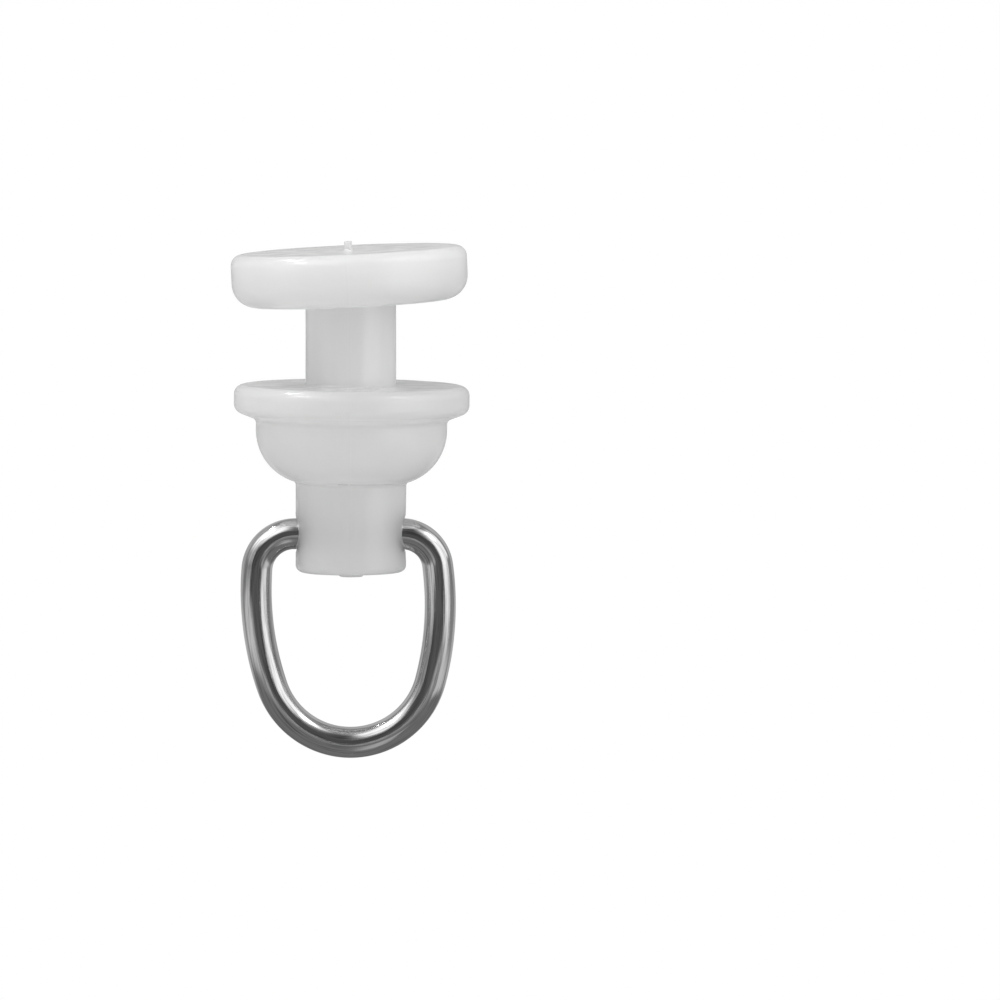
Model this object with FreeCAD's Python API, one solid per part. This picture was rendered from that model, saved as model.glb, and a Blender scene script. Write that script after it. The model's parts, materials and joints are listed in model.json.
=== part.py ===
import FreeCAD, Part
import math
import os

# Curtain glider, in millimetres, +Z up.
# The origin is the middle of the head's underside, where the head rests on the track.
# The track runs along X. The D ring hangs in the XZ plane and swings about X.

# Head: the thick disc that rides on top of the track's two lips
head_d = 12.10
head_t = 2.72
head_top_round = 0.56
head_under_round = 1.21
head_tilt_deg = 2.6

# Neck: the post that stands in the slot between the lips
neck_d = 4.64
lip_room = 4.22
neck_fillet = 0.15

# Flange: the wider disc under the track, with a bevelled underside
flange_d = 12.07
flange_rim_t = 1.33
flange_top_round = 0.49
flange_edge_round = 0.51
flange_bevel_deg = 21.4
flange_tilt_deg = 0.54
flange_shift = 0.05

# Bowl: the rounded block under the flange
bowl_d = 9.80
bowl_side = 0.53
bowl_round = 2.77
bowl_fillet = 0.32

# Stem: the round post that holds the ring in a cross hole
stem_d = 5.68
stem_above_eye = 2.56
stem_below_eye = 1.95
stem_round = 0.36
stem_fillet = 0.20
eye_clearance = 0.10

# Gate marks: the two stubs left on the moulding, a drawn-out one on the head and a cut one on the foot
top_gate_d = 0.40
top_gate_root_d = 0.48
top_gate_h = 0.45
foot_gate_d = 1.20
foot_gate_h = 0.25

# D ring: round wire bent in one plane, its two ends meeting inside the eye
wire_d = 1.60
ring_side_gap = 1.09
ring_loop_drop = 9.95
side_arc_r = 15.40
bow_tuck = 0.48
bow_shift = 0.11
ring_slide = -0.15
bend_start_inside = 0.09
butt_gap = 0.06

# Values that follow from the sizes above
flange_top_z = -lip_room
flange_drop = flange_rim_t + (flange_d - bowl_d) / 2 * math.tan(math.radians(flange_bevel_deg))
bowl_bottom_z = flange_top_z - flange_drop - bowl_side - bowl_round
eye_z = bowl_bottom_z - stem_above_eye
stem_bottom_z = eye_z - stem_below_eye
eye_r = wire_d / 2 + eye_clearance
half_width = stem_d / 2 + ring_side_gap + wire_d / 2
bow_r = half_width - bow_tuck
ring_drop = ring_loop_drop + wire_d / 2

# Edges are picked by their place to this accuracy, and a cutter runs this far past what it cuts
pick_tol = 0.01
pick_band = 0.10
cut_past = 1.0

AXIS = FreeCAD.Vector(0, 0, 1)
TRACK = FreeCAD.Vector(1, 0, 0)
ACROSS = FreeCAD.Vector(0, 1, 0)
ORIGIN = FreeCAD.Vector(0, 0, 0)


def at(x, z):
    """A point in the XZ plane."""
    return FreeCAD.Vector(x, 0, z)


def rounded_outline(corners):
    """Closed outline through corners (radius, height, rounding), each rounded by a tangent arc."""
    edges = []
    start = at(corners[0][0], corners[0][1])
    here = start
    for before, corner, after in zip(corners, corners[1:], corners[2:]):
        point = at(corner[0], corner[1])
        back = (at(before[0], before[1]) - point).normalize()
        ahead = (at(after[0], after[1]) - point).normalize()
        half_angle = back.getAngle(ahead) / 2
        reach = corner[2] / math.tan(half_angle)
        enter = point + back * reach
        leave = point + ahead * reach
        edges.append(Part.LineSegment(here, enter).toShape())
        if corner[2] > 0:
            middle = (back + ahead).normalize()
            deep = point + middle * (corner[2] / math.sin(half_angle) - corner[2])
            edges.append(Part.Arc(enter, deep, leave).toShape())
        here = leave
    end = at(corners[-1][0], corners[-1][1])
    edges.append(Part.LineSegment(here, end).toShape())
    edges.append(Part.LineSegment(end, start).toShape())
    return Part.Wire(edges)


def turned(corners):
    """The outline turned once round the Z axis."""
    return Part.Face(rounded_outline(corners)).revolve(ORIGIN, AXIS, 360)


def leaned(shape, pivot, degrees):
    """The shape leaned about Y through a point, so that its +X side is the higher one."""
    moved = shape.copy()
    moved.rotate(pivot, ACROSS, -degrees)
    return moved


def head():
    """The disc and the gate stub on its top, leaned together."""
    disc = turned([
        (0, head_t, 0),
        (head_d / 2, head_t, head_top_round),
        (head_d / 2, 0, head_under_round),
        (0, 0, 0),
    ])
    stub_foot = at(0, head_t / 2)
    stub_h = top_gate_h + head_t / 2
    stub = Part.makeCone(top_gate_root_d / 2, top_gate_d / 2, stub_h, stub_foot, AXIS)
    return leaned(disc.fuse(stub), ORIGIN, head_tilt_deg)


def neck():
    """The post from inside the head to inside the flange."""
    top = head_t / 2
    bottom = flange_top_z - flange_rim_t / 2
    return Part.makeCylinder(neck_d / 2, top - bottom, at(0, bottom), AXIS)


def flange_and_bowl():
    """The flange's rim, its bevelled underside and the bowl, as one turned outline.

    The block sits a little to +X of the neck and leans, its -X side the higher one.
    """
    block = turned([
        (0, flange_top_z, 0),
        (flange_d / 2, flange_top_z, flange_top_round),
        (flange_d / 2, flange_top_z - flange_rim_t, flange_edge_round),
        (bowl_d / 2, flange_top_z - flange_drop, bowl_fillet),
        (bowl_d / 2, bowl_bottom_z, bowl_round),
        (0, bowl_bottom_z, 0),
    ])
    block.translate(TRACK * flange_shift)
    return leaned(block, at(flange_shift, flange_top_z), -flange_tilt_deg)


def stem():
    """The post under the bowl with its rounded foot and the gate stub in the middle of it."""
    inside_bowl = bowl_bottom_z + bowl_round / 2
    post = turned([
        (0, inside_bowl, 0),
        (stem_d / 2, inside_bowl, 0),
        (stem_d / 2, stem_bottom_z, stem_round),
        (0, stem_bottom_z, 0),
    ])
    stub_top = at(0, stem_bottom_z + stem_round)
    stub = Part.makeCylinder(foot_gate_d / 2, foot_gate_h + stem_round, stub_top, AXIS * -1)
    return post.fuse(stub)


def rings_between(shape, radius, low, high):
    """The edges that run round the Z axis at this radius, between two heights."""
    found = []
    for edge in shape.Edges:
        middle = edge.valueAt(sum(edge.ParameterRange) / 2)
        on_wall = abs(math.hypot(middle.x, middle.y) - radius) < pick_tol
        if on_wall and edge.BoundBox.ZMin > low and edge.BoundBox.ZMax < high:
            found.append(edge)
    return found


def pick_height(radius, degrees):
    """How far above and below its middle the edge of a leaned face at this radius is looked for."""
    return radius * abs(math.sin(math.radians(degrees))) + pick_band


def glider_body():
    """The one moulding: head, neck, flange, bowl and stem, with the eye through the stem."""
    body = head().fuse([neck(), flange_and_bowl(), stem()]).removeSplitter()
    head_band = pick_height(neck_d / 2, head_tilt_deg)
    flange_band = pick_height(neck_d / 2, flange_tilt_deg)
    inner_corners = rings_between(body, neck_d / 2, -head_band, head_band)
    inner_corners += rings_between(
        body, neck_d / 2, flange_top_z - flange_band, flange_top_z + flange_band
    )
    body = body.makeFillet(neck_fillet, inner_corners)
    root_low = bowl_bottom_z - pick_height(stem_d / 2, flange_tilt_deg)
    stem_root = rings_between(body, stem_d / 2, root_low, bowl_bottom_z + bowl_round / 2)
    body = body.makeFillet(stem_fillet, stem_root)
    eye_start = at(-stem_d / 2 - cut_past, eye_z)
    return body.cut(Part.makeCylinder(eye_r, stem_d + 2 * cut_past, eye_start, TRACK))


def side_arcs(side):
    """Centre x, centre z and radius of one side's three arcs: bend, side arc and bow.

    Places are from the middle of the bar, with x outwards. The side arc is widest at the half
    width and touches the bow's arc. The bend touches the straight bar and the side arc, and
    starts just inside the stem's wall.
    """
    bow_x = side * bow_shift
    side_x = half_width - side_arc_r
    rise = math.sqrt((side_arc_r - bow_r) ** 2 - (bow_x - side_x) ** 2)
    side_z = bow_r - ring_drop + rise
    bend_x = stem_d / 2 - bend_start_inside
    across = bend_x - side_x
    bend_r = (side_arc_r ** 2 - across ** 2 - side_z ** 2) / (2 * (side_arc_r + side_z))
    return (bend_x, -bend_r, bend_r), (side_x, side_z, side_arc_r), (bow_x, bow_r - ring_drop, bow_r)


def on_ring(side, x, z):
    """A point of the ring's plane, given from the middle of the bar, on this side of it."""
    return at(ring_slide + side * x, eye_z + z)


def arc_edge(side, arc, start, end):
    """The stretch of one arc between two directions from its centre, in radians."""
    x, z, radius = arc
    points = []
    for turn in (start, (start + end) / 2, end):
        points.append(on_ring(side, x + radius * math.cos(turn), z + radius * math.sin(turn)))
    return Part.Arc(*points).toShape()


def side_edges(side):
    """Bar, bend, side arc and half of the bow, from the butt joint to the bow's lowest point."""
    bend, long_arc, bow = side_arcs(side)
    to_bend = math.atan2(bend[1] - long_arc[1], bend[0] - long_arc[0])
    to_bow = math.atan2(bow[1] - long_arc[1], bow[0] - long_arc[0])
    bar = Part.LineSegment(at(side * butt_gap / 2, eye_z), on_ring(side, bend[0], 0))
    return [
        bar.toShape(),
        arc_edge(side, bend, math.pi / 2, to_bend),
        arc_edge(side, long_arc, to_bend, to_bow),
        arc_edge(side, bow, to_bow, -math.pi / 2),
    ]


def d_ring():
    """The wire's circle carried along the closed D, open only at the butt joint."""
    path = Part.Wire(side_edges(1) + side_edges(-1)[::-1])
    section = Part.Wire(Part.makeCircle(wire_d / 2, at(butt_gap / 2, eye_z), TRACK))
    return path.makePipeShell([section], True, True)


os.makedirs("parts", exist_ok=True)
for name, shape in (("glider_body", glider_body()), ("d_ring", d_ring())):
    shape.exportStep("parts/" + name + ".step")
    print(name, shape.isValid(), len(shape.Solids), round(shape.Volume, 3), shape.BoundBox)
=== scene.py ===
import json
import math

import bpy
import numpy as np
from bpy.props import FloatProperty, FloatVectorProperty, IntProperty, PointerProperty
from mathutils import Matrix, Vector


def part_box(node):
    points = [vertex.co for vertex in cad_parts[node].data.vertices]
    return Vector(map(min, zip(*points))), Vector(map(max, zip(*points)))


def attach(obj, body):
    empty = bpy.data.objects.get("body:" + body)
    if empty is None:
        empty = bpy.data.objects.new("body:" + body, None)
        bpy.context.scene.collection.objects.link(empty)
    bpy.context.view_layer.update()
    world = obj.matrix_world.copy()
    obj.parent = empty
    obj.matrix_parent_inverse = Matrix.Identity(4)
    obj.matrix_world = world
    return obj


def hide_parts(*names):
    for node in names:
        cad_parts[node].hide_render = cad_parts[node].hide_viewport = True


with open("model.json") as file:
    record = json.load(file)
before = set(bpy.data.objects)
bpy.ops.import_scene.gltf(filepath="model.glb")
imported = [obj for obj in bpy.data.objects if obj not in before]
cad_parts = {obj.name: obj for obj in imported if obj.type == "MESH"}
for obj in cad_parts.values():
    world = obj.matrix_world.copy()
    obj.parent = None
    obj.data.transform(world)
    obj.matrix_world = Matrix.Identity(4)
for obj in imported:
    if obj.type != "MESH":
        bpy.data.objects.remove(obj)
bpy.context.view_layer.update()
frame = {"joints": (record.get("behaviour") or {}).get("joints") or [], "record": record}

bl_info = {
    "name": "Curtain glider",
    "version": (1, 0, 0),
    "blender": (4, 5, 0),
    "location": "3D View > Sidebar > Curtain glider",
    "description": "Builds a round curtain track glider: a white moulding with a wire ring in its eye",
    "category": "Object",
}

# The frame's +X runs along the track and the ring's bar, -Y faces the viewer, and the origin is the
# middle of the head's underside. Everything is in metres.
MM = 0.001
EYE_Z = frame["joints"][0]["pos_m"][2]
BODY_LOW, BODY_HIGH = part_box("glider_body")
RING_LOW, RING_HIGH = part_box("d_ring")
SLOT_COLOURS = {finish["slot"]: finish["base_color"][:3] for finish in frame["record"]["materials"]}
WHITE = (1.0, 1.0, 1.0)


def length(name, description, millimetres):
    """A property for a length, written in millimetres and kept in metres."""
    return FloatProperty(
        name=name,
        description=description,
        default=millimetres * MM,
        precision=5,
        unit="LENGTH",
        subtype="DISTANCE",
    )


def angle(name, description, degrees):
    """A property for an angle, written in degrees and kept in radians."""
    return FloatProperty(
        name=name,
        description=description,
        default=math.radians(degrees),
        unit="ROTATION",
        subtype="ANGLE",
    )


def share(name, description, value):
    """A property for a plain number from 0 to 1."""
    return FloatProperty(
        name=name, description=description, default=value, min=0.0, max=1.0, subtype="FACTOR"
    )


def colour(name, description, value):
    """A property for a colour in linear red, green and blue."""
    return FloatVectorProperty(
        name=name, description=description, default=value, size=3, min=0.0, max=1.0, subtype="COLOR"
    )


class GliderMouldingSizes(bpy.types.PropertyGroup):
    """Sizes of the one-piece body, from the head down to the foot."""

    head_d: length("Head diameter", "Across the disc that rides on the track", 12.10)
    head_t: length("Head thickness", "From the head's underside to its flat top", 2.72)
    head_top_round: length("Head top rounding", "Radius of the head's upper edge", 0.56)
    head_under_round: length("Head under rounding", "Radius of the head's lower edge", 1.21)
    head_tilt: angle("Head lean", "How far the head leans, its +X side up", 2.6)
    neck_d: length("Neck diameter", "Across the post in the track's slot", 4.64)
    lip_room: length("Lip room", "Height between the head and the flange", 4.22)
    neck_fillet: length("Neck fillet", "Radius of the neck's two inner corners", 0.15)
    flange_d: length("Flange diameter", "Across the disc under the track", 12.07)
    flange_rim_t: length("Flange rim", "Height of the flange's upright edge", 1.33)
    flange_top_round: length("Flange top rounding", "Radius of the flange's upper edge", 0.49)
    flange_edge_round: length("Flange edge rounding", "Radius of the rim's lower edge", 0.51)
    flange_bevel: angle("Flange bevel", "Slope of the flange's underside", 21.4)
    flange_tilt: angle("Flange lean", "How far the flange and bowl lean, their +X side down", 0.54)
    flange_shift: length("Flange shift", "How far the flange sits to +X of the neck", 0.05)
    bowl_d: length("Bowl diameter", "Across the rounded block under the flange", 9.80)
    bowl_side: length("Bowl side", "Height of the bowl's upright side", 0.53)
    bowl_round: length("Bowl rounding", "Radius of the bowl's rounded underside", 2.77)
    bowl_fillet: length("Bowl fillet", "Radius between the flange's bevel and the bowl", 0.32)
    stem_d: length("Stem diameter", "Across the post with the eye", 5.68)
    stem_below_eye: length("Stem below eye", "From the eye's axis to the stem's foot", 1.95)
    stem_round: length("Stem rounding", "Radius of the foot's edge", 0.36)
    stem_fillet: length("Stem fillet", "Radius between the bowl and the stem", 0.20)
    stem_dent: length("Stem dent", "How far the +X wall sinks in round the eye", 0.06)
    eye_r: length("Eye radius", "Radius of the cross hole for the ring's bar", 0.90)
    eye_mouth_round: length("Eye mouth rounding", "Radius of the edge round each end of the eye", 0.08)
    top_gate_r: length("Top gate radius", "Radius of the drawn-out stub on the head", 0.20)
    top_gate_root_r: length("Top gate root radius", "Radius of that stub at the head", 0.215)
    foot_gate_r: length("Foot gate radius", "Radius of the cut stub under the foot", 0.60)
    gate_edge: length("Gate edge", "Rounding of the edges of both stubs", 0.05)
    gate_break: length("Gate break", "Height of the torn surface on both stubs", 0.07)
    seam_h: length("Seam height", "How far the mould's seam stands out", 0.006)
    seam_w: length("Seam width", "Half width of the mould's seam", 0.035)
    seam_start: length("Seam start", "From the axis to where the seam begins on a flat face", 0.3)
    seam_full: length("Seam full", "From the axis to where the seam has its full height", 0.8)
    sink: length("Unevenness", "Depth of the soft shrink marks in the faces", 0.008)


class GliderRingSizes(bpy.types.PropertyGroup):
    """Sizes of the wire ring, a closed D of tangent arcs in the XZ plane."""

    wire_d: length("Wire diameter", "Thickness of the round wire", 1.60)
    side_arc_r: length("Side arc radius", "Radius of each long side", 15.40)
    bow_tuck: length("Bow tuck", "How much smaller the bow's radius is than half the width", 0.48)
    bow_shift: length("Bow shift", "How far the bow sits to +X of the bar's middle", 0.11)
    bend_start: length("Bend start", "From the bar's middle to where each bend starts", 2.75)
    butt_gap: length("Butt gap", "Gap between the wire's two ends inside the eye", 0.06)
    end_chamfer: length("End chamfer", "Bevel round each end of the wire", 0.10)
    spacing: length("Ring spacing", "Distance between the mesh's rings along the wire", 0.05)
    draw_ripple: length("Draw ripple", "Height of the long waves left by drawing the wire", 0.004)
    bend_flat: length("Bend flattening", "How much a tight bend flattens the wire", 0.014)
    slant_step: length("Slant step", "Length along the wire between the measured slants", 2.0)
    slant_start: length("Slant start", "Length along the wire of the first measured slant", 3.3)


class GliderPlasticFinish(bpy.types.PropertyGroup):
    """The white moulded plastic."""

    base: colour("Colour", "The plastic's own colour", SLOT_COLOURS["white_plastic"])
    shade: colour("Shade", "The colour of its slightly duller patches", (0.845, 0.845, 0.845))
    gloss_rough: share("Least roughness", "Roughness where the mould was polished best", 0.11)
    dull_rough: share("Most roughness", "Roughness where the mould was dullest", 0.19)
    depth: length("Light depth", "How far light runs inside the plastic", 6.0)
    cloud: length("Cloud size", "Width of the duller patches", 3.8)
    peel: length("Peel size", "Width of the soft waves in the gloss", 1.4)
    grain: length("Grain size", "Width of the mould's fine tool marks", 0.2)
    grain_h: length("Grain height", "Height of the mould's fine tool marks", 0.02)


class GliderWireFinish(bpy.types.PropertyGroup):
    """The bright plated wire."""

    base: colour("Colour", "The plating's colour", (0.76, 0.76, 0.76))
    stain: colour("Stain", "The colour along its duller draw lines", (0.34, 0.34, 0.34))
    gloss_rough: share("Least roughness", "Roughness of the brightest plating", 0.06)
    dull_rough: share("Most roughness", "Roughness along its draw lines", 0.20)
    line: length("Line size", "Width of the draw lines", 0.09)
    line_h: length("Line height", "Height of the draw lines", 0.012)
    patch: length("Patch size", "Width of the duller patches", 1.1)


class GliderStudio(bpy.types.PropertyGroup):
    """The floor, the light and the camera."""

    floor_drop: length("Floor drop", "From the ring's lowest point down to the floor", 150.0)
    floor_r: length("Floor radius", "How far the pale floor reaches", 900.0)
    floor_level: share("Floor level", "How pale the floor is", 0.85)
    fade_start: share("Fade start", "Share of the floor's radius where it starts to fade to white", 0.25)
    fade_end: share("Fade end", "Share of the floor's radius where it is white", 0.6)
    room_level: share("Room level", "Light from all sides", 0.20)
    tent_r: length("Tent radius", "From the glider to the studio's softboxes and flags", 145.0)
    view_pitch: angle("View pitch", "How far the camera looks down", 4.2)
    view_reach: length("View distance", "From the camera to the point it looks at", 475.0)
    view_side: length("View side", "How far that point lies to +X of the glider's axis", 7.64)
    view_height: length("View height", "Height of that point, under the head's underside", -10.12)
    view_width: length("View width", "Width of the picture at that point", 51.28)


class GliderSettings(bpy.types.PropertyGroup):
    """Everything that a user may change."""

    moulding: PointerProperty(type=GliderMouldingSizes)
    ring: PointerProperty(type=GliderRingSizes)
    plastic: PointerProperty(type=GliderPlasticFinish)
    wire: PointerProperty(type=GliderWireFinish)
    studio: PointerProperty(type=GliderStudio)
    columns: IntProperty(name="Columns", description="Mesh columns on each half of the body", default=121)
    wire_sides: IntProperty(name="Wire sides", description="Faces round the wire", default=64)


def settings():
    """All sizes and finishes of the open scene."""
    return bpy.context.scene.curtain_glider


# Profiles and surfaces, as arrays of points

# The turn between two points of an arc
FINE_TURN = math.radians(9)
# The distance between two points of a line
LINE_STEP = 0.2 * MM
# How close the guard points of a line stand to its two ends
EDGE_GUARD = 0.02 * MM
# Two points nearer than this are one
SAME_PLACE = 0.0001 * MM
# The turned grid starts and ends this far from the axis, and its poles are points on the axis
POLE_R = 0.02 * MM

# The room that the grid leaves open round the eye's mouths
EYE_ROOM = 0.30 * MM
# Layers of points from there to a mouth's rounding, and as many over the rounding
MOUTH_STEPS = 6
# Steps along the bore from mouth to mouth
BORE_STEPS = 12

# Soft waves: radians for each metre, and the seed of the random draw
SEAM_PACE, SEAM_SEED = 2.2 / MM, 4
SINK_PACE, SINK_SEED = 1.0 / MM, 9
TORN_PACE, TORN_SEED = 6.0 / MM, 13
RIPPLE_PACE, RIPPLE_SEED = 0.9 / MM, 21

# The share of the seam's height that comes and goes
SEAM_CHANGE = 0.3
# The share of the flange's top over which it slides to its shifted place
SHIFT_SHARE = 2 / 3

# The length over which the wire's bending and its slant are smoothed
SMOOTH_RUN = 2 * MM
# How the wire's ripple changes from back to front and from outside to inside, in radians
RIPPLE_FRONT = 2.0
RIPPLE_INSIDE = 1.4
# The share of its radius that the wire loses at its bevelled ends
END_THINNING = 0.12

# Bending has left the wire's section a slanted oval. These are the turns of its front face, in
# degrees and positive towards the inside of the ring, from the +X bend round to the -X bend.
WIRE_SLANTS = (-4.8, 5.0, 0.1, 0.7, -1.9, -2.3, -0.3, 3.9, -0.9, -0.9, 5.4, 0.6, -0.2, -2.7, 1.8)

# The columns along the mould's seam, in half widths of the seam
SEAM_COLUMNS = np.array([-2.6, -1.4, -0.7, 0, 0.7, 1.4, 2.6])


def arc(centre, radius, start, end, step=FINE_TURN):
    """Points (r, z) on a circle: the centre plus the radius times cosine and sine of the angle."""
    turns = np.linspace(start, end, max(3, math.ceil(abs(end - start) / step)) + 1)
    return np.stack([centre[0] + radius * np.cos(turns), centre[1] + radius * np.sin(turns)], 1)


def straight(start, end, step=LINE_STEP):
    """Points on a line, evenly spaced, with one more close to each end to keep the faces flat."""
    start, end = np.array(start, float), np.array(end, float)
    span = np.linalg.norm(end - start)
    shares = np.linspace(0, 1, max(2, math.ceil(span / step)) + 1)
    if span > 4 * EDGE_GUARD:
        shares = np.sort(np.append(shares, [EDGE_GUARD / span, 1 - EDGE_GUARD / span]))
    return start + shares[:, None] * (end - start)


def rounded(corners):
    """Points (r, z) through corners (r, z, rounding): each corner gives way to a tangent arc.

    The arc's centre lies on the line that halves the corner, at rounding / sin(half the corner's
    angle), and it starts rounding / tan(half the angle) before the corner.
    """
    corners = np.array(corners, float)
    runs, here = [], corners[0, :2]
    for before, corner, after in zip(corners, corners[1:], corners[2:]):
        back, ahead = before[:2] - corner[:2], after[:2] - corner[:2]
        back, ahead = back / np.linalg.norm(back), ahead / np.linalg.norm(ahead)
        half = math.acos(np.clip(back @ ahead, -1, 1)) / 2
        reach = corner[2] / math.tan(half)
        middle = (back + ahead) / np.linalg.norm(back + ahead)
        centre = corner[:2] + middle * corner[2] / math.sin(half)
        enter, leave = corner[:2] + back * reach, corner[:2] + ahead * reach
        first = math.atan2(*(enter - centre)[::-1])
        sweep = (math.atan2(*(leave - centre)[::-1]) - first + math.pi) % math.tau - math.pi
        runs += [straight(here, enter), arc(centre, corner[2], first, first + sweep)]
        here = leave
    return runs + [straight(here, corners[-1, :2])]


def joined(runs):
    """The runs as one array, without the points that follow each other at the same place."""
    points = np.concatenate(runs)
    apart = np.linalg.norm(np.diff(points, axis=0), axis=1) > SAME_PLACE
    return points[np.append(True, apart)]


def bowl_to_stem(body, bowl_bottom):
    """The bowl's rounded underside and the fillet that leads from it into the stem.

    The fillet's circle touches the bowl's circle and the stem's wall from outside, so its centre
    lies at the sum of both radii from the bowl's centre, and one fillet radius off the wall.
    """
    bowl_c = np.array([body.bowl_d / 2 - body.bowl_round, bowl_bottom + body.bowl_round])
    fillet_r = body.stem_d / 2 + body.stem_fillet
    reach = body.bowl_round + body.stem_fillet
    drop = math.sqrt(reach**2 - (fillet_r - bowl_c[0]) ** 2)
    fillet_c = np.array([fillet_r, bowl_c[1] - drop])
    touch = math.atan2(-drop, fillet_r - bowl_c[0])
    return [
        arc(bowl_c, body.bowl_round, 0, touch, FINE_TURN / 2),
        arc(fillet_c, body.stem_fillet, touch + math.pi, math.pi),
    ]


def moulding_profile(body):
    """Half of the moulding's outline as points (r, z), in four stretches.

    They are the head with its stub, the neck, the flange with the bowl, and the stem with its foot.
    """
    flange_top = -body.lip_room
    flange_drop = body.flange_rim_t + (body.flange_d - body.bowl_d) / 2 * math.tan(body.flange_bevel)
    bowl_top = flange_top - flange_drop
    bowl_bottom = bowl_top - body.bowl_side - body.bowl_round
    foot = EYE_Z - body.stem_below_eye
    neck_r = body.neck_d / 2
    inner_r = neck_r + body.neck_fillet
    head = rounded([
        (POLE_R, BODY_HIGH.z, 0),
        (body.top_gate_r, BODY_HIGH.z, body.gate_edge),
        (body.top_gate_root_r, body.head_t, body.gate_edge),
        (body.head_d / 2, body.head_t, body.head_top_round),
        (body.head_d / 2, 0, body.head_under_round),
        (inner_r, 0, 0),
    ])
    neck = rounded([
        (inner_r, 0, 0),
        (neck_r, 0, body.neck_fillet),
        (neck_r, flange_top, body.neck_fillet),
        (inner_r, flange_top, 0),
    ])
    block = rounded([
        (inner_r, flange_top, 0),
        (body.flange_d / 2, flange_top, body.flange_top_round),
        (body.flange_d / 2, flange_top - body.flange_rim_t, body.flange_edge_round),
        (body.bowl_d / 2, bowl_top, body.bowl_fillet),
        (body.bowl_d / 2, bowl_top - body.bowl_side, 0),
    ])
    underside, root = bowl_to_stem(body, bowl_bottom)
    stem = rounded([
        (body.stem_d / 2, root[-1, 1], 0),
        (body.stem_d / 2, foot, body.stem_round),
        (body.foot_gate_r, foot, body.gate_edge),
        (body.foot_gate_r, BODY_LOW.z, body.gate_edge),
        (POLE_R, BODY_LOW.z, 0),
    ])
    return joined(head), joined(neck), joined(block + [underside]), joined([root] + stem)


def soft_waves(a, b, seed, count=7):
    """A smooth uneven field from -1 to 1: the mean of sine waves.

    Each has a random direction in (a, b), a random start and half to twice the pace of a and b.
    """
    draw = np.random.default_rng(seed)
    turn = draw.uniform(0, math.tau, (2, count))
    pace = draw.uniform(0.5, 2.0, count)
    field = sum(
        np.sin(pace[i] * (a * math.cos(turn[0, i]) + b * math.sin(turn[0, i])) + turn[1, i])
        for i in range(count)
    )
    return field / count


def ease(t):
    """0 below 0, 1 above 1, and 3 t^2 - 2 t^3 between them."""
    t = np.clip(t, 0, 1)
    return t * t * (3 - 2 * t)


def column_angles(body, radius, per_half):
    """Angles of the grid's columns, one row for each radius.

    Each half of the body has evenly spaced columns. The seam at front and back has a few close
    columns at fixed distances from the YZ plane, so their angles are distance / radius. Nearer to
    the axis than the seam's start, the angles stay as they are there.
    """
    seam = body.seam_w * SEAM_COLUMNS / np.maximum(radius, body.seam_start)[:, None]
    edge = seam[:, -1:]
    shares = (np.arange(per_half) + 1) / (per_half + 1)
    half = edge + shares * (math.pi - 2 * edge)
    front = -math.pi / 2
    return np.concatenate([front + seam, front + half, -front + seam, -front + half], axis=1)


def turned(outline, turns):
    """Grid of points (r cos a, r sin a, z), one row for each point of the outline."""
    radius, height = outline[:, :1], outline[:, 1:]
    return radius * np.cos(turns), radius * np.sin(turns), height + 0 * turns


def seam_height(body, x, y, z, radius):
    """Height of the mould's seam: a bell curve of the distance from the YZ plane, in soft waves.

    It grows from nothing at the seam's start, and is full a little further from the axis.
    """
    bell = np.exp(-((x / body.seam_w) ** 2))
    grown = np.clip((radius - body.seam_start) / (body.seam_full - body.seam_start), 0, 1)
    waves = soft_waves(SEAM_PACE * z, SEAM_PACE * y, SEAM_SEED)
    return body.seam_h * bell * grown * (1 - SEAM_CHANGE + SEAM_CHANGE * waves)


def torn_height(body, x, y, z, radius):
    """How far the torn ends of both gate stubs move in z: soft waves, mostly sunk in.

    They fade out over the outer half of each stub's end.
    """
    end_r = np.where(z > 0, body.top_gate_r, body.foot_gate_r)
    outward = np.where(z > 0, 1, -1)
    on_end = (z > body.head_t + body.gate_edge) | (z < EYE_Z - body.stem_below_eye - body.gate_edge)
    torn = body.gate_break * (soft_waves(TORN_PACE * x, TORN_PACE * y, TORN_SEED) - 0.5)
    return np.where(on_end, outward * torn * ease(2 - 2 * radius / end_r), 0)


def swollen(body, outline, turns):
    """The turned grid, moved along its own normal by the seam and by soft shrink marks.

    The normal of a turned outline is its direction (dr, dz) turned by a right angle: (-dz, dr).
    """
    x, y, z = turned(outline, turns)
    radius = outline[:, :1]
    along = np.gradient(outline, axis=0)
    along /= np.linalg.norm(along, axis=1)[:, None]
    marks = body.sink * soft_waves(SINK_PACE * x, SINK_PACE * (z + y), SINK_SEED)
    proud = seam_height(body, x, y, z, radius) + marks
    x = x - proud * along[:, 1:] * np.cos(turns)
    y = y - proud * along[:, 1:] * np.sin(turns)
    z = z + proud * along[:, :1]
    return x, y, z + torn_height(body, x, y, z, radius)


def leaned(x, z, pivot_z, tilt):
    """x and z turned about Y at the height pivot_z, the +X side up for a positive tilt."""
    up = z - pivot_z
    return x * math.cos(tilt) - up * math.sin(tilt), pivot_z + x * math.sin(tilt) + up * math.cos(tilt)


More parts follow.
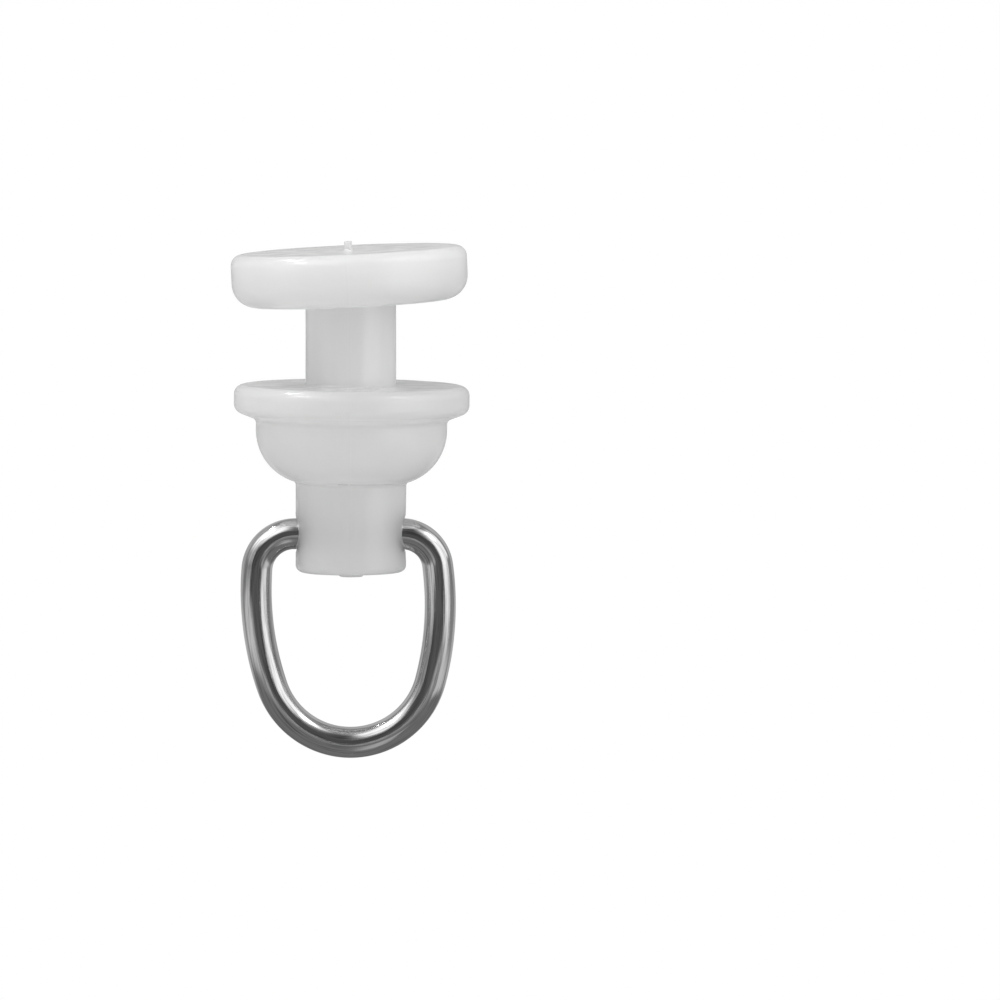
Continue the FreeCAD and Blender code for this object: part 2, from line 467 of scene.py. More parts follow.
def moulding_surface(body, per_half):
    """Grid of points on the moulding: rows follow its outline, columns run round its axis.

    The head leans about the origin, the flange and bowl lean the other way and sit a little to
    +X. The neck's and the stem's points slide along their own cylinders to meet them, by x times
    the tangent of each lean, and this fades out down the stem. The flange's top slides to its
    shifted place from the neck outwards, and all that follows in the outline keeps the full shift.
    """
    parts = moulding_profile(body)
    outline = np.concatenate(parts)
    turns = column_angles(body, outline[:, 0], per_half)
    x, y, z = swollen(body, outline, turns)
    ends = np.cumsum([len(part) for part in parts])
    head, neck, block, stem = (slice(a, b) for a, b in zip([0, *ends], ends))
    x[head], z[head] = leaned(x[head], z[head], 0, body.head_tilt)
    up = ease(1 + z[neck] / body.lip_room)
    z[neck] += x[neck] * (math.tan(body.head_tilt) * up - math.tan(body.flange_tilt) * (1 - up))
    inner_r = body.neck_d / 2 + body.neck_fillet
    out = ease((outline[block, :1] - inner_r) / (body.flange_d / 2 - inner_r) / SHIFT_SHARE)
    shifted = x[block] + body.flange_shift * np.maximum.accumulate(out)
    x[block], z[block] = leaned(shifted, z[block], -body.lip_room, -body.flange_tilt)
    below_root = outline[ends[2], 1] - z[stem]
    z[stem] -= x[stem] * math.tan(body.flange_tilt) * ease(1 - below_root / (body.stem_d / 4))
    return np.stack([x, y, z], 2), turns, outline[:, 1]


def dented(body, points):
    """The points with the stem's +X wall sunk in round the eye.

    The dent is a bell curve of the height, and grows from half of the stem's radius out to its wall.
    """
    x, z = points[..., 0], points[..., 2]
    quarter = body.stem_d / 4
    deep = np.exp(-(((z - EYE_Z) / quarter) ** 2)) * ease((x - quarter) / quarter)
    on_stem = z < EYE_Z + body.stem_d / 2
    moved = points.copy()
    moved[..., 0] = x - body.stem_dent * deep * on_stem
    return moved


def eye_frame(body, turns, height, per_half):
    """First and last row and column of the rectangle left open round the eye's +X mouth.

    It reaches as far round the stem's wall as it does in height.
    """
    reach = body.eye_r + EYE_ROOM
    rows = np.flatnonzero(np.abs(height - EYE_Z) < reach)
    middle = len(SEAM_COLUMNS) + per_half // 2
    inside = np.abs(turns[rows[0]] * body.stem_d / 2) < reach
    span = int(inside.sum() // 2)
    return rows[0], rows[-1], middle - span, middle + span


def rectangle_loop(top, bottom, left, right):
    """Rows and columns round the rectangle, counter-clockwise as seen from outside."""
    rows = [
        np.arange(bottom, top, -1),
        np.full(right - left, top),
        np.arange(top, bottom),
        np.full(right - left, bottom),
    ]
    columns = [
        np.full(bottom - top, right),
        np.arange(right, left, -1),
        np.full(bottom - top, left),
        np.arange(left, right),
    ]
    return np.concatenate(rows), np.concatenate(columns)


def eye_tunnel(body, turn, height):
    """Layers of points from the +X rectangle through the eye to the -X one, without both rims.

    Round the mouth the points slide over the stem's cylinder, from the rectangle to the edge
    rounding. That rounding is rolled by a ball of radius q that touches both the stem's wall and
    the bore's wall from inside: its centre is y = (b + q) cos f, z = (b + q) sin f and
    x = sqrt((R - q)^2 - y^2). The bore itself runs straight between the two mouths.
    """
    big, bore, ball = body.stem_d / 2, body.eye_r, body.eye_mouth_round
    f = np.arctan2(height - EYE_Z, big * turn)
    centre_y, centre_z = (bore + ball) * np.cos(f), (bore + ball) * np.sin(f)
    centre_x = np.sqrt((big - ball) ** 2 - centre_y**2)
    centre = np.stack([centre_x, centre_y, centre_z + EYE_Z], 1)
    out = np.stack([centre_x, centre_y, 0 * f], 1) / (big - ball)
    inward = np.stack([0 * f, -np.cos(f), -np.sin(f)], 1)
    touch = centre + ball * out
    touch_turn = np.arctan2(touch[:, 1], touch[:, 0])
    layers = []
    for t in np.linspace(0, 1, MOUTH_STEPS + 1)[1:]:
        a = turn + (touch_turn - turn) * t
        z = height + (touch[:, 2] - height) * t
        layers.append(np.stack([big * np.cos(a), big * np.sin(a), z], 1))
    between = np.arccos(np.clip(np.sum(out * inward, 1), -1, 1))[:, None]
    for t in np.linspace(0, 1, MOUTH_STEPS + 1)[1:]:
        mixed = np.sin((1 - t) * between) * out + np.sin(t * between) * inward
        layers.append(centre + ball * mixed / np.sin(between))
    mirror = np.array([-1, 1, 1])
    deep = [layers[-1] * np.array([t, 1, 1]) for t in np.linspace(1, -1, BORE_STEPS + 1)[1:-1]]
    return np.array(layers + deep + [layer * mirror for layer in layers[::-1]])


def grid_index(grid):
    """Numbers of the grid's points, row by row."""
    return np.arange(grid.shape[0] * grid.shape[1]).reshape(grid.shape[:2])


def grid_quads(index, closed):
    """Four-sided faces between neighbouring rows and columns of a grid of point numbers.

    They face the side from which rows run down and columns run to the right.
    """
    if closed:
        index = np.concatenate([index, index[:, :1]], axis=1)
    return np.stack([index[:-1, :-1], index[1:, :-1], index[1:, 1:], index[:-1, 1:]], 2)


def new_piece(name, points, faces):
    """A smooth mesh object at the origin, with its place in its points."""
    mesh = bpy.data.meshes.new(name)
    mesh.from_pydata(points, [], faces)
    mesh.shade_smooth()
    mesh.update()
    piece = bpy.data.objects.new(name, mesh)
    bpy.context.scene.collection.objects.link(piece)
    return piece


def moulding_mesh(body, per_half):
    """Points and faces of the closed moulding: the turned grid, both poles and the eye's tunnel.

    Column far - c of the grid is the mirror image of column c in the YZ plane, so the loop round
    the +X mouth serves for the -X mouth too.
    """
    surface, turns, height = moulding_surface(body, per_half)
    index = grid_index(surface)
    rows, columns = index.shape
    top, bottom, left, right = eye_frame(body, turns, height, per_half)
    far = columns - 1 + len(SEAM_COLUMNS)
    keep = np.ones((rows - 1, columns), bool)
    keep[top:bottom, left:right] = False
    keep[top:bottom, far - right:far - left] = False
    loop_rows, loop_columns = rectangle_loop(top, bottom, left, right)
    rim, far_rim = index[loop_rows, loop_columns], index[loop_rows, far - loop_columns]
    tunnel = eye_tunnel(body, turns[loop_rows, loop_columns], surface[loop_rows, loop_columns, 2])
    inner = index.size + grid_index(tunnel)
    tunnel_quads = grid_quads(np.concatenate([rim[None], inner, far_rim[None]]), True)[:, :, ::-1]
    points = np.concatenate([
        surface.reshape(-1, 3), tunnel.reshape(-1, 3), surface[[0, -1]].mean(axis=1)
    ])
    top_pole, foot_pole = len(points) - 2, len(points) - 1
    first, last = index[0], index[-1]
    caps = np.concatenate([
        np.stack([np.full(columns, top_pole), first, np.roll(first, -1)], 1),
        np.stack([np.full(columns, foot_pole), np.roll(last, -1), last], 1),
    ])
    quads = grid_quads(index, True)[keep]
    faces = quads.tolist() + tunnel_quads.reshape(-1, 4).tolist() + caps.tolist()
    return dented(body, points), faces


def ring_side(ring, side, half_width, drop):
    """Points (x, z) on one side of the ring, from the butt joint to the bow's foot.

    The side arc is widest at the half width and touches the bow's arc from outside. The bend
    touches the bar and the side arc: its radius is (S^2 - a^2 - h^2) / (2 (S + h)), where S is the
    side arc's radius, h its centre's height and a its centre's distance from the bend's centre.
    """
    bow_r = half_width - ring.bow_tuck
    bow = np.array([side * ring.bow_shift, bow_r - drop])
    long_x = half_width - ring.side_arc_r
    rise = math.sqrt((ring.side_arc_r - bow_r) ** 2 - (bow[0] - long_x) ** 2)
    long_c = np.array([long_x, bow[1] + rise])
    a = ring.bend_start - long_x
    bend_r = (ring.side_arc_r**2 - a**2 - long_c[1] ** 2) / (2 * (ring.side_arc_r + long_c[1]))
    bend = np.array([ring.bend_start, -bend_r])
    to_bend = math.atan2(bend[1] - long_c[1], bend[0] - long_c[0])
    to_bow = math.atan2(bow[1] - long_c[1], bow[0] - long_c[0])
    return joined([
        straight((ring.butt_gap / 2, 0), (ring.bend_start, 0), ring.spacing),
        arc(bend, bend_r, math.pi / 2, to_bend, ring.spacing / bend_r),
        arc(long_c, ring.side_arc_r, to_bend, to_bow, ring.spacing / ring.side_arc_r),
        arc(bow, bow_r, to_bow, -math.pi / 2, ring.spacing / bow_r),
    ])


def ring_line(ring):
    """The wire's middle line from one butt end right round to the other, as points (x, 0, z)."""
    slide = (RING_LOW.x + RING_HIGH.x) / 2
    half_width = (RING_HIGH.x - RING_LOW.x) / 2 - ring.wire_d / 2
    drop = EYE_Z - RING_LOW.z - ring.wire_d / 2
    right = ring_side(ring, 1, half_width, drop)
    left = ring_side(ring, -1, half_width, drop) * np.array([-1, 1])
    flat = joined([right, left[::-1]])
    x = flat[:, 0] + slide
    x[0], x[-1] = ring.butt_gap / 2, -ring.butt_gap / 2
    return np.stack([x, 0 * x, flat[:, 1] + EYE_Z], 1)


def smoothed(ring, values):
    """Values along the wire, each the mean of its neighbours weighted by a bell-shaped window."""
    window = np.hanning(math.ceil(SMOOTH_RUN / ring.spacing))
    return np.convolve(values, window / window.sum(), "same")


def wire_radius(ring, run, bending, f):
    """The wire's radius for each length along it and each direction f from the ring's inside.

    It has the draw's long ripples, is less by the cosine of 2 f where the wire is bent tightly, and
    tapers at both ends. A face turned by t at the front adds half the radius times t times the sine
    of 2 f.
    """
    round_wire = RIPPLE_FRONT * np.sin(f) + RIPPLE_INSIDE * np.cos(f)
    ripple = soft_waves(RIPPLE_PACE * run[:, None], round_wire, RIPPLE_SEED)
    tight = smoothed(ring, bending) * ring.wire_d
    ends = np.minimum(run, run[-1] - run)
    slant_runs = ring.slant_start + ring.slant_step * np.arange(len(WIRE_SLANTS))
    slant = np.interp(run, slant_runs, np.radians(WIRE_SLANTS)) * ease(ends / ring.bend_start)
    radius = (
        ring.wire_d / 2
        + ring.draw_ripple * ripple
        - ring.bend_flat * tight[:, None] * np.cos(2 * f)
        + ring.wire_d / 4 * smoothed(ring, slant)[:, None] * np.sin(2 * f)
    )
    taper = END_THINNING * np.clip(1 - ends / ring.end_chamfer, 0, 1)
    return radius * (1 - taper[:, None])


def ring_surface(ring, sides):
    """Grid of points on the wire and the unrolled place of each.

    A point is the middle line plus the radius times (cos f, sin f) across it, f from the inside of
    the ring. The unrolled place is (cos f, sin f) times the radius and the length along the wire.
    """
    line = ring_line(ring)
    run = np.append(0, np.cumsum(np.linalg.norm(np.diff(line, axis=0), axis=1)))
    along = np.gradient(line, run, axis=0)
    along /= np.linalg.norm(along, axis=1)[:, None]
    bending = np.linalg.norm(np.gradient(along, run, axis=0), axis=1)
    across = np.cross([0, 1, 0], along)
    f = np.linspace(0, math.tau, sides, endpoint=False)[None]
    radius = wire_radius(ring, run, bending, f)
    cos, sin = (radius * np.cos(f))[:, :, None], (radius * np.sin(f))[:, :, None]
    points = line[:, None] + cos * across[:, None] + sin * np.array([0, 1, 0])
    unrolled = np.concatenate([cos, sin, 0 * cos + run[:, None, None]], 2)
    return points, unrolled


def ring_mesh(ring, sides):
    """Points, faces and unrolled places of the wire, closed at both butt ends."""
    points, unrolled = ring_surface(ring, sides)
    index = grid_index(points)
    quads = grid_quads(index, True)[:, :, ::-1].reshape(-1, 4)
    start, end = index.size, index.size + 1
    caps = np.concatenate([
        np.stack([np.full(sides, start), np.roll(index[0], -1), index[0]], 1),
        np.stack([np.full(sides, end), index[-1], np.roll(index[-1], -1)], 1),
    ])
    ends = points[[0, -1]].mean(axis=1)
    places = np.concatenate([unrolled.reshape(-1, 3), unrolled[[0, -1]].mean(axis=1)])
    return np.concatenate([points.reshape(-1, 3), ends]), quads.tolist() + caps.tolist(), places


# Shader nodes, and the node groups that both materials use


def fill(tree, node, inputs):
    """Sets each input, by name or number, to a value or links it to another node's socket."""
    for socket, source in inputs:
        if isinstance(source, bpy.types.NodeSocket):
            tree.links.new(source, node.inputs[socket])
        else:
            node.inputs[socket].default_value = source


def add_node(tree, kind, inputs=(), **values):
    """A node with its settings and inputs."""
    node = tree.nodes.new(kind)
    for name, value in values.items():
        setattr(node, name, value)
    fill(tree, node, inputs)
    return node


def opaque(value):
    """A colour with full opacity."""
    return (*value, 1.0)


def mixed_colour(tree, part, first, second):
    """The first colour turning into the second as part goes from 0 to 1.

    Of the Mix node's many sockets, 0 is its factor and 6 and 7 are its two colours.
    """
    inputs = [(0, part), (6, opaque(first)), (7, opaque(second))]
    return add_node(tree, "ShaderNodeMix", inputs, data_type="RGBA").outputs[2]


def new_group(name, inputs, outputs):
    """An empty shader node group with its sockets, and its two end nodes."""
    group = bpy.data.node_groups.new(name, "ShaderNodeTree")
    group.interface.new_socket("Place", in_out="INPUT", socket_type="NodeSocketVector")
    for socket, value in inputs:
        made = group.interface.new_socket(socket, in_out="INPUT", socket_type="NodeSocketFloat")
        made.default_value = value
    for socket in outputs:
        group.interface.new_socket(socket, in_out="OUTPUT", socket_type="NodeSocketFloat")
    return group, group.nodes.new("NodeGroupInput"), group.nodes.new("NodeGroupOutput")


def unevenness_group():
    """Soft cloudy change: noise of a given scale, spread to run from Least to Most."""
    group, given, result = new_group(
        "glider_unevenness", [("Scale", 300.0), ("Least", 0.0), ("Most", 1.0)], ["Value"]
    )
    place, scale = given.outputs["Place"], given.outputs["Scale"]
    noise = add_node(group, "ShaderNodeTexNoise", [("Vector", place), ("Scale", scale), ("Detail", 3.0)])
    spread = add_node(group, "ShaderNodeMapRange", [
        ("Value", noise.outputs["Fac"]),
        ("From Min", 0.3),
        ("From Max", 0.7),
        ("To Min", given.outputs["Least"]),
        ("To Max", given.outputs["Most"]),
    ])
    fill(group, result, [("Value", spread.outputs["Result"])])
    return group


def fine_marks_group():
    """Fine long marks: noise drawn out along Z by Length, and a mask where it is over Sparse."""
    group, given, result = new_group(
        "glider_fine_marks", [("Scale", 9000.0), ("Length", 20.0), ("Sparse", 0.55)], ["Mask", "Height"]
    )
    shares = [(0, 1.0), (1, given.outputs["Length"])]
    squeeze = add_node(group, "ShaderNodeMath", shares, operation="DIVIDE")
    factors = add_node(group, "ShaderNodeCombineXYZ", [("X", 1.0), ("Y", 1.0), ("Z", squeeze.outputs[0])])
    place = add_node(
        group,
        "ShaderNodeVectorMath",
        [(0, given.outputs["Place"]), (1, factors.outputs["Vector"])],
        operation="MULTIPLY",
    )
    noise = add_node(group, "ShaderNodeTexNoise", [
        ("Vector", place.outputs["Vector"]),
        ("Scale", given.outputs["Scale"]),
        ("Detail", 4.0),
        ("Roughness", 0.6),
    ])
    kept = add_node(
        group,
        "ShaderNodeMapRange",
        [("Value", noise.outputs["Fac"]), ("From Min", given.outputs["Sparse"]), ("From Max", 0.75)],
        interpolation_type="SMOOTHSTEP",
    )
    fill(group, result, [("Mask", kept.outputs["Result"]), ("Height", noise.outputs["Fac"])])
    return group


def use_group(tree, name, build, inputs):
    """The shared group as a node of this material, built at its first use, with its own values."""
    group = bpy.data.node_groups.get(name) or build()
    return add_node(tree, "ShaderNodeGroup", inputs, node_tree=group)


def unevenness(tree, place, size, least, most):
    """Cloudy values from least to most, in patches of the given size."""
    inputs = [("Place", place), ("Scale", 1 / size), ("Least", least), ("Most", most)]
    return use_group(tree, "glider_unevenness", unevenness_group, inputs).outputs["Value"]


def fine_marks(tree, place, size, drawn, sparse):
    """Mask and height of marks of the given width, drawn out along Z that many times.

    The higher sparse is, the fewer of the marks are in the mask.
    """
    inputs = [("Place", place), ("Scale", 1 / size), ("Length", drawn), ("Sparse", sparse)]
    node = use_group(tree, "glider_fine_marks", fine_marks_group, inputs)
    return node.outputs["Mask"], node.outputs["Height"]


def bumped(tree, height, distance, strength):
    """The normal of a surface that the height pushes out by up to the distance."""
    inputs = [("Height", height), ("Strength", strength), ("Distance", distance)]
    return add_node(tree, "ShaderNodeBump", inputs).outputs["Normal"]


def new_material(name, base):
    """A material with its own Principled BSDF, and the colour shown in the viewport."""
    material = bpy.data.materials.new(name)
    material.use_nodes = True
    material.diffuse_color = opaque(base)
    return material, material.node_tree, material.node_tree.nodes["Principled BSDF"]


def plastic_material(plastic):
    """White moulded plastic: light runs into it, with cloudy gloss and the mould's fine tooling."""
    material, tree, shader = new_material("white_plastic", plastic.base)
    place = add_node(tree, "ShaderNodeTexCoord").outputs["Object"]
    cloud = unevenness(tree, place, plastic.cloud, 0.0, 1.0)
    tooling = fine_marks(tree, place, plastic.grain, drawn=2.0, sparse=0.5)[1]
    fill(tree, shader, [
        ("Base Color", mixed_colour(tree, cloud, plastic.base, plastic.shade)),
        ("Roughness", unevenness(tree, place, plastic.peel, plastic.gloss_rough, plastic.dull_rough)),
        ("Normal", bumped(tree, tooling, plastic.grain_h, strength=0.06)),
        ("IOR", 1.48),
        ("Subsurface Weight", 1.0),
        ("Subsurface Radius", WHITE),
        ("Subsurface Scale", plastic.depth),
    ])
    return material


def wire_material(wire):
    """Bright plated wire: a mirror with long draw lines and faint dull patches along it."""
    material, tree, shader = new_material("plated_wire", wire.base)
    unrolled = add_node(tree, "ShaderNodeAttribute", attribute_name="unrolled").outputs["Vector"]
    mask, height = fine_marks(tree, unrolled, wire.line, drawn=30.0, sparse=0.42)
    patches = unevenness(tree, unrolled, wire.patch, 0.0, 1.0)
    dull = add_node(tree, "ShaderNodeMath", [(0, mask), (1, patches)], operation="MULTIPLY").outputs[0]
    rough = add_node(tree, "ShaderNodeMapRange", [
        ("Value", dull), ("To Min", wire.gloss_rough), ("To Max", wire.dull_rough)
    ])
    fill(tree, shader, [
        ("Base Color", mixed_colour(tree, mask, wire.base, wire.stain)),
        ("Metallic", 1.0),
        ("Roughness", rough.outputs["Result"]),
        ("Normal", bumped(tree, height, wire.line_h, strength=0.55)),
    ])
    return material


# The stage

# Softboxes, flags and the table round the glider, as the bright wire shows them, each drawn over
# the ones before it: azimuth from and to, elevation from and to, level, and width of the soft edge.
# Azimuth 0 is the camera's side and 90 is +X. Angles are in degrees.
# TENT_LEVEL is the brightness where no row reaches.
TENT_LEVEL = 0.29
TENT = (
    ("back", 121, 245, -27, 51, 0.53, 13),
    ("back_low", 130, 230, -4, 14, 0.45, 10),
    ("table", -180, 180, -91, -20, 0.18, 10),
    ("table_sheen", 5, 30, -60, -32, 0.45, 16),
    ("front_strip", -45, 34, -13, -9, 0.45, 5),
    ("left_strip", -96, -40, -16, -1, 0.63, 9),
    ("right_strip", 48, 105, -25, 0, 0.63, 8),
    ("left_wall", -90, -43, 8, 32, 0.48, 13),
    ("camera_side", -49, 29, -5, 25, 0.085, 4),
    ("camera_low", -28, 31, -9, -1, 0.11, 5),
    ("camera_over", -3, 23, 22, 62, 0.09, 14),
    ("left_softbox", -98, -14, 28, 67, 1.35, 20),
    ("right_softbox", 35, 101, -6, 59, 1.25, 18),
    ("right_gap", 77, 116, -15, 15, 0.27, 10),
    ("left_gap", -102, -81, -4, 13, 0.21, 9),
    ("right_patch", 60, 79, -12, 4, 0.85, 7),
    ("left_glint", -67, -50, 40, 52, 9.0, 6),
    ("right_glint", 50, 67, 40, 52, 6.0, 6),
)

# The ball that carries them: its columns and rows of points, and where it ends at top and bottom
TENT_COLUMNS = 240
TENT_ROWS = 181
TENT_POLE = 89.5

# Lamps, as azimuth, elevation, distance, size, power and whether they show in reflections, in
# degrees, millimetres and watts
LAMPS = (
    ("left_lamp", -75, 10, 300, 200, 0.17, False),
    ("front_lamp", 20, 12, 300, 200, 0.24, False),
    ("right_lamp", 75, 10, 300, 200, 0.20, False),
    ("right_back_lamp", 110, 30, 300, 200, 0.11, False),
    ("back_lamp", 180, 60, 300, 200, 0.18, False),
    ("top_lamp", 0, 62, 60, 50, 0.008, False),
    ("low_left_lamp", -80, -30, 200, 150, 0.08, False),
    ("spark_lamp", -105, 59, 300, 20, 0.24, True),
)


def seen_directly(tree):
    """1 for rays of the camera, of reflections and of see-through parts, and 0 for other light."""
    path = add_node(tree, "ShaderNodeLightPath")
    seen = path.outputs["Is Camera Ray"]
    for kind in ("Is Glossy Ray", "Is Transmission Ray"):
        both = [(0, seen), (1, path.outputs[kind])]
        seen = add_node(tree, "ShaderNodeMath", both, operation="MAXIMUM").outputs[0]
    return seen


def studio_world(studio):
    """A white surround for what is seen directly, and a softer one as light on the glider."""
    world = bpy.data.worlds.new("studio_world")
    bpy.context.scene.world = world
    world.use_nodes = True
    tree = world.node_tree
    tree.nodes.clear()
    soft, white = (
        add_node(tree, "ShaderNodeBackground", [("Color", opaque(WHITE)), ("Strength", level)]).outputs[0]
        for level in (studio.room_level, 1.0)
    )
    mixed = add_node(tree, "ShaderNodeMixShader", [(0, seen_directly(tree)), (1, soft), (2, white)])
    add_node(tree, "ShaderNodeOutputWorld", [("Surface", mixed.outputs[0])])


def disc_surface(radius, height, rings=24, columns=96):
    """Points of a flat round sheet: (s r cos a, s r sin a, height), s growing with t to the 1.5."""
    t = np.linspace(0.002, 1, rings)[:, None]
    a = np.linspace(0, math.tau, columns, endpoint=False)[None]
    out = radius * t**1.5
    return np.stack([out * np.cos(a), out * np.sin(a), height + 0 * out * a], 2)


def floor_material(studio):
    """Pale matt floor that keeps the glider's shadow near it and fades into the white surround."""
    pale = (studio.floor_level,) * 3
    material, tree, shader = new_material("studio_floor", pale)
    place = add_node(tree, "ShaderNodeTexCoord").outputs["Object"]
    away = add_node(tree, "ShaderNodeVectorMath", [(0, place)], operation="LENGTH")
    fade = add_node(
        tree,
        "ShaderNodeMapRange",
        [
            ("Value", away.outputs["Value"]),
            ("From Min", studio.fade_start * studio.floor_r),
            ("From Max", studio.fade_end * studio.floor_r),
        ],
        interpolation_type="SMOOTHSTEP",
    )
    fill(tree, shader, [("Base Color", opaque(pale)), ("Roughness", 0.9), ("Specular IOR Level", 0.0)])
    glow = add_node(tree, "ShaderNodeEmission", [("Color", opaque(WHITE)), ("Strength", 1.0)])
    gone = [(0, fade.outputs["Result"]), (1, seen_directly(tree))]
    seen = add_node(tree, "ShaderNodeMath", gone, operation="MULTIPLY")
    mixed = add_node(tree, "ShaderNodeMixShader", [
        (0, seen.outputs[0]), (1, shader.outputs[0]), (2, glow.outputs[0])
    ])
    fill(tree, tree.nodes["Material Output"], [("Surface", mixed.outputs[0])])
    return material


def place_floor(studio):
    """The pale floor far under the hanging ring."""
    grid = disc_surface(studio.floor_r, RING_LOW.z - studio.floor_drop)
    index = grid_index(grid)
    faces = grid_quads(index, True).reshape(-1, 4).tolist() + [index[0].tolist()]
    floor = new_piece("studio_floor", grid.reshape(-1, 3), faces)
    floor.data.materials.append(floor_material(studio))


def direction(azimuth, elevation):
    """Where angles in degrees point, from the camera's side: (cos e sin a, -cos e cos a, sin e)."""
    a, e = np.radians(azimuth), np.radians(elevation)
    return np.stack([np.cos(e) * np.sin(a), -np.cos(e) * np.cos(a), np.sin(e) + 0 * a], -1)


def tent_levels(azimuth, elevation):
    """Brightness of the studio in each direction: each row of TENT is laid over the ones before.

    A row covers its box of directions fully, and fades out over its soft edge.
    """
    level = TENT_LEVEL + 0 * azimuth * elevation
    for _, left, right, low, high, bright, soft in TENT:
        middle, half = (left + right) / 2, (right - left) / 2
        away = np.abs((azimuth - middle + 180) % 360 - 180)
        across = ease((half + soft / 2 - away) / soft) if half < 180 else 1
        up = ease((elevation - low + soft / 2) / soft) * ease((high + soft / 2 - elevation) / soft)
        level = level + (bright - level) * across * up
    return level


def tent_material():
    """A glow as bright as the level that each point of the ball carries."""
    material = bpy.data.materials.new("studio_tent")
    material.use_nodes = True
    tree = material.node_tree
    tree.nodes.clear()
    bright = add_node(tree, "ShaderNodeAttribute", attribute_name="level").outputs["Fac"]
    glow = add_node(tree, "ShaderNodeEmission", [("Color", opaque(WHITE)), ("Strength", bright)])
    add_node(tree, "ShaderNodeOutputMaterial", [("Surface", glow.outputs[0])])
    return material


def place_tent(studio):
    """A ball round the glider that only reflections see, with the studio's levels on its inside.

    A point is the middle of the ring plus the ball's radius times its direction. The ball is open
    at its two poles.
    """
    azimuth = np.linspace(-180, 180, TENT_COLUMNS, endpoint=False)[None]
    elevation = np.linspace(-TENT_POLE, TENT_POLE, TENT_ROWS)[:, None]
    middle = np.array([0, 0, (EYE_Z + RING_LOW.z) / 2])
    points = middle + studio.tent_r * direction(azimuth, elevation)
    faces = grid_quads(grid_index(points), True).reshape(-1, 4).tolist()
    tent = new_piece("studio_tent", points.reshape(-1, 3), faces)
    level = tent.data.attributes.new("level", "FLOAT", "POINT")
    level.data.foreach_set("value", tent_levels(azimuth, elevation).astype(np.float32).ravel())
    tent.data.materials.append(tent_material())
    tent.visible_camera = tent.visible_diffuse = tent.visible_shadow = False
    tent.visible_transmission = tent.visible_volume_scatter = False


def place_lamp(name, azimuth, elevation, distance, size, power, reflected):
    """A square soft lamp that faces the middle of the glider and isn't seen itself."""
    data = bpy.data.lights.new(name, "AREA")
    data.shape, data.size, data.energy = "SQUARE", size * MM, power
    lamp = bpy.data.objects.new(name, data)
    bpy.context.scene.collection.objects.link(lamp)
    toward = Vector(direction(azimuth, elevation))
    middle = Vector((0, 0, (BODY_HIGH.z + RING_LOW.z) / 2))
    lamp.location = middle + toward * distance * MM
    lamp.rotation_euler = toward.to_track_quat("Z", "Y").to_euler()
    lamp.visible_camera, lamp.visible_glossy = False, reflected


def place_camera(studio):
    """The camera at the photograph's place: a little above the glider, looking slightly down."""
    data = bpy.data.cameras.new("viewer")
    data.sensor_width = 36.0
    data.lens = data.sensor_width * studio.view_reach / studio.view_width
    data.clip_start, data.clip_end = 0.01, 20.0
    camera = bpy.data.objects.new("viewer", data)
    bpy.context.scene.collection.objects.link(camera)
    target = Vector((studio.view_side, 0, studio.view_height))
    back = Vector((0, -math.cos(studio.view_pitch), math.sin(studio.view_pitch)))
    camera.location = target + back * studio.view_reach
    camera.rotation_euler = (math.pi / 2 - studio.view_pitch, 0, 0)
    bpy.context.scene.camera = camera


# Operators, panel and registration


class GLIDER_OT_moulding(bpy.types.Operator):
    """Builds the white moulding that stands for the body's CAD node"""

    bl_idname = "curtain_glider.moulding"
    bl_label = "Build moulding"

    def execute(self, context):
        chosen = settings()
        piece = new_piece("moulded_body", *moulding_mesh(chosen.moulding, chosen.columns))
        piece.data.materials.append(plastic_material(chosen.plastic))
        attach(piece, "moulding")
        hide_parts("glider_body")
        return {"FINISHED"}


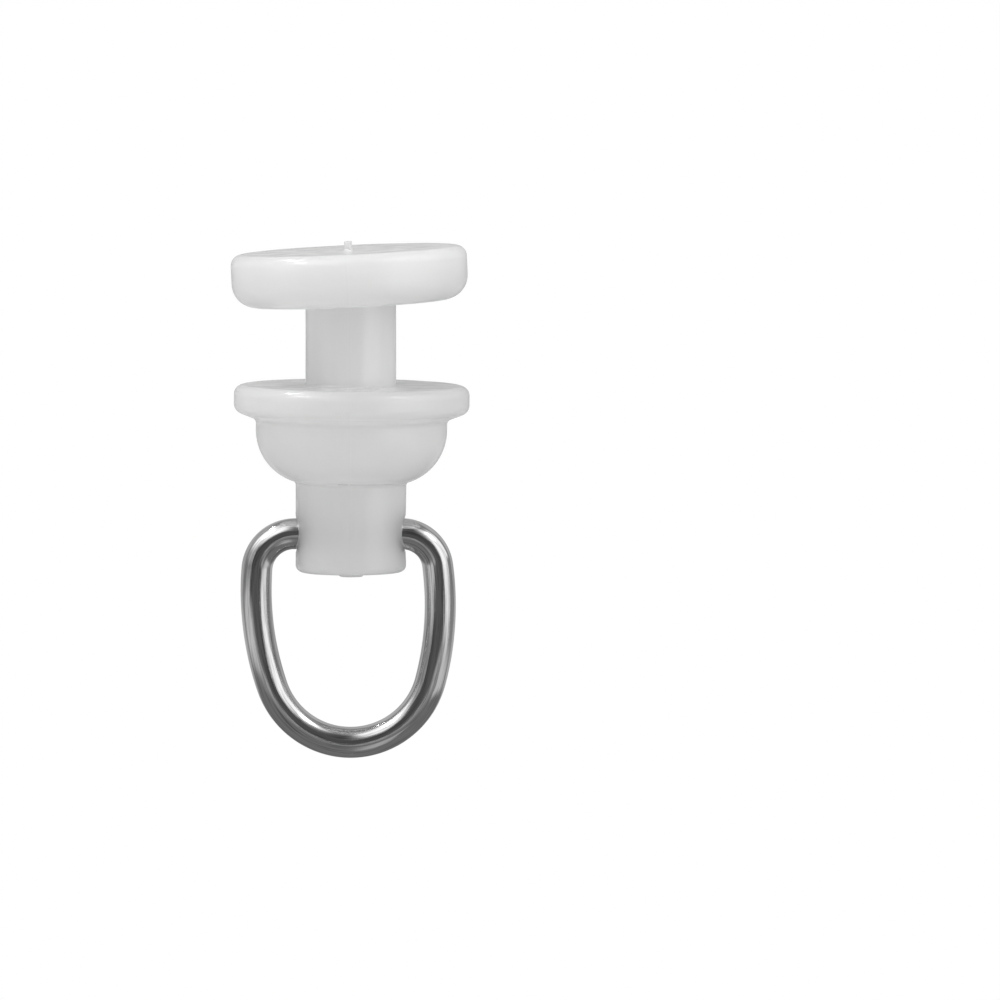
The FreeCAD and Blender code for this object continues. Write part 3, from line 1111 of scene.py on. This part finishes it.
class GLIDER_OT_wire_ring(bpy.types.Operator):
    """Builds the plated wire ring that stands for the ring's CAD node"""

    bl_idname = "curtain_glider.wire_ring"
    bl_label = "Build wire ring"

    def execute(self, context):
        chosen = settings()
        points, faces, places = ring_mesh(chosen.ring, chosen.wire_sides)
        piece = new_piece("wire_ring", points, faces)
        unrolled = piece.data.attributes.new("unrolled", "FLOAT_VECTOR", "POINT")
        unrolled.data.foreach_set("vector", places.astype(np.float32).ravel())
        piece.data.materials.append(wire_material(chosen.wire))
        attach(piece, "ring")
        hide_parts("d_ring")
        return {"FINISHED"}


class GLIDER_OT_stage(bpy.types.Operator):
    """Sets up the pale floor, the white surround, the softboxes, the lamps and the camera"""

    bl_idname = "curtain_glider.stage"
    bl_label = "Build stage"

    def execute(self, context):
        studio = settings().studio
        context.scene.view_settings.view_transform = "Standard"
        studio_world(studio)
        place_floor(studio)
        place_tent(studio)
        for lamp in LAMPS:
            place_lamp(*lamp)
        place_camera(studio)
        return {"FINISHED"}


class GLIDER_PT_build(bpy.types.Panel):
    """Sizes, finishes and build steps of the curtain glider"""

    bl_idname = "GLIDER_PT_build"
    bl_label = "Curtain glider"
    bl_space_type = "VIEW_3D"
    bl_region_type = "UI"
    bl_category = "Curtain glider"

    def draw(self, context):
        chosen = settings()
        for step in STEPS:
            self.layout.operator(step.bl_idname)
        for part in (chosen.moulding, chosen.ring, chosen.plastic, chosen.wire, chosen.studio):
            box = self.layout.box()
            box.label(text=part.bl_rna.description)
            for name in part.__annotations__:
                box.prop(part, name)


STEPS = (GLIDER_OT_moulding, GLIDER_OT_wire_ring, GLIDER_OT_stage)
GROUPS = (
    GliderMouldingSizes,
    GliderRingSizes,
    GliderPlasticFinish,
    GliderWireFinish,
    GliderStudio,
    GliderSettings,
)


def register():
    """Makes the settings, the operators and the panel known, and gives each scene its settings."""
    for made in (*GROUPS, *STEPS, GLIDER_PT_build):
        bpy.utils.register_class(made)
    bpy.types.Scene.curtain_glider = PointerProperty(type=GliderSettings)


def unregister():
    """Takes back what register has made known."""
    del bpy.types.Scene.curtain_glider
    for made in (GLIDER_PT_build, *STEPS[::-1], *GROUPS[::-1]):
        bpy.utils.unregister_class(made)


def main():
    """Builds the glider and its stage."""
    register()
    bpy.ops.curtain_glider.moulding()
    bpy.ops.curtain_glider.wire_ring()
    bpy.ops.curtain_glider.stage()
    bpy.context.view_layer.update()


if __name__ == "__main__":
    main()
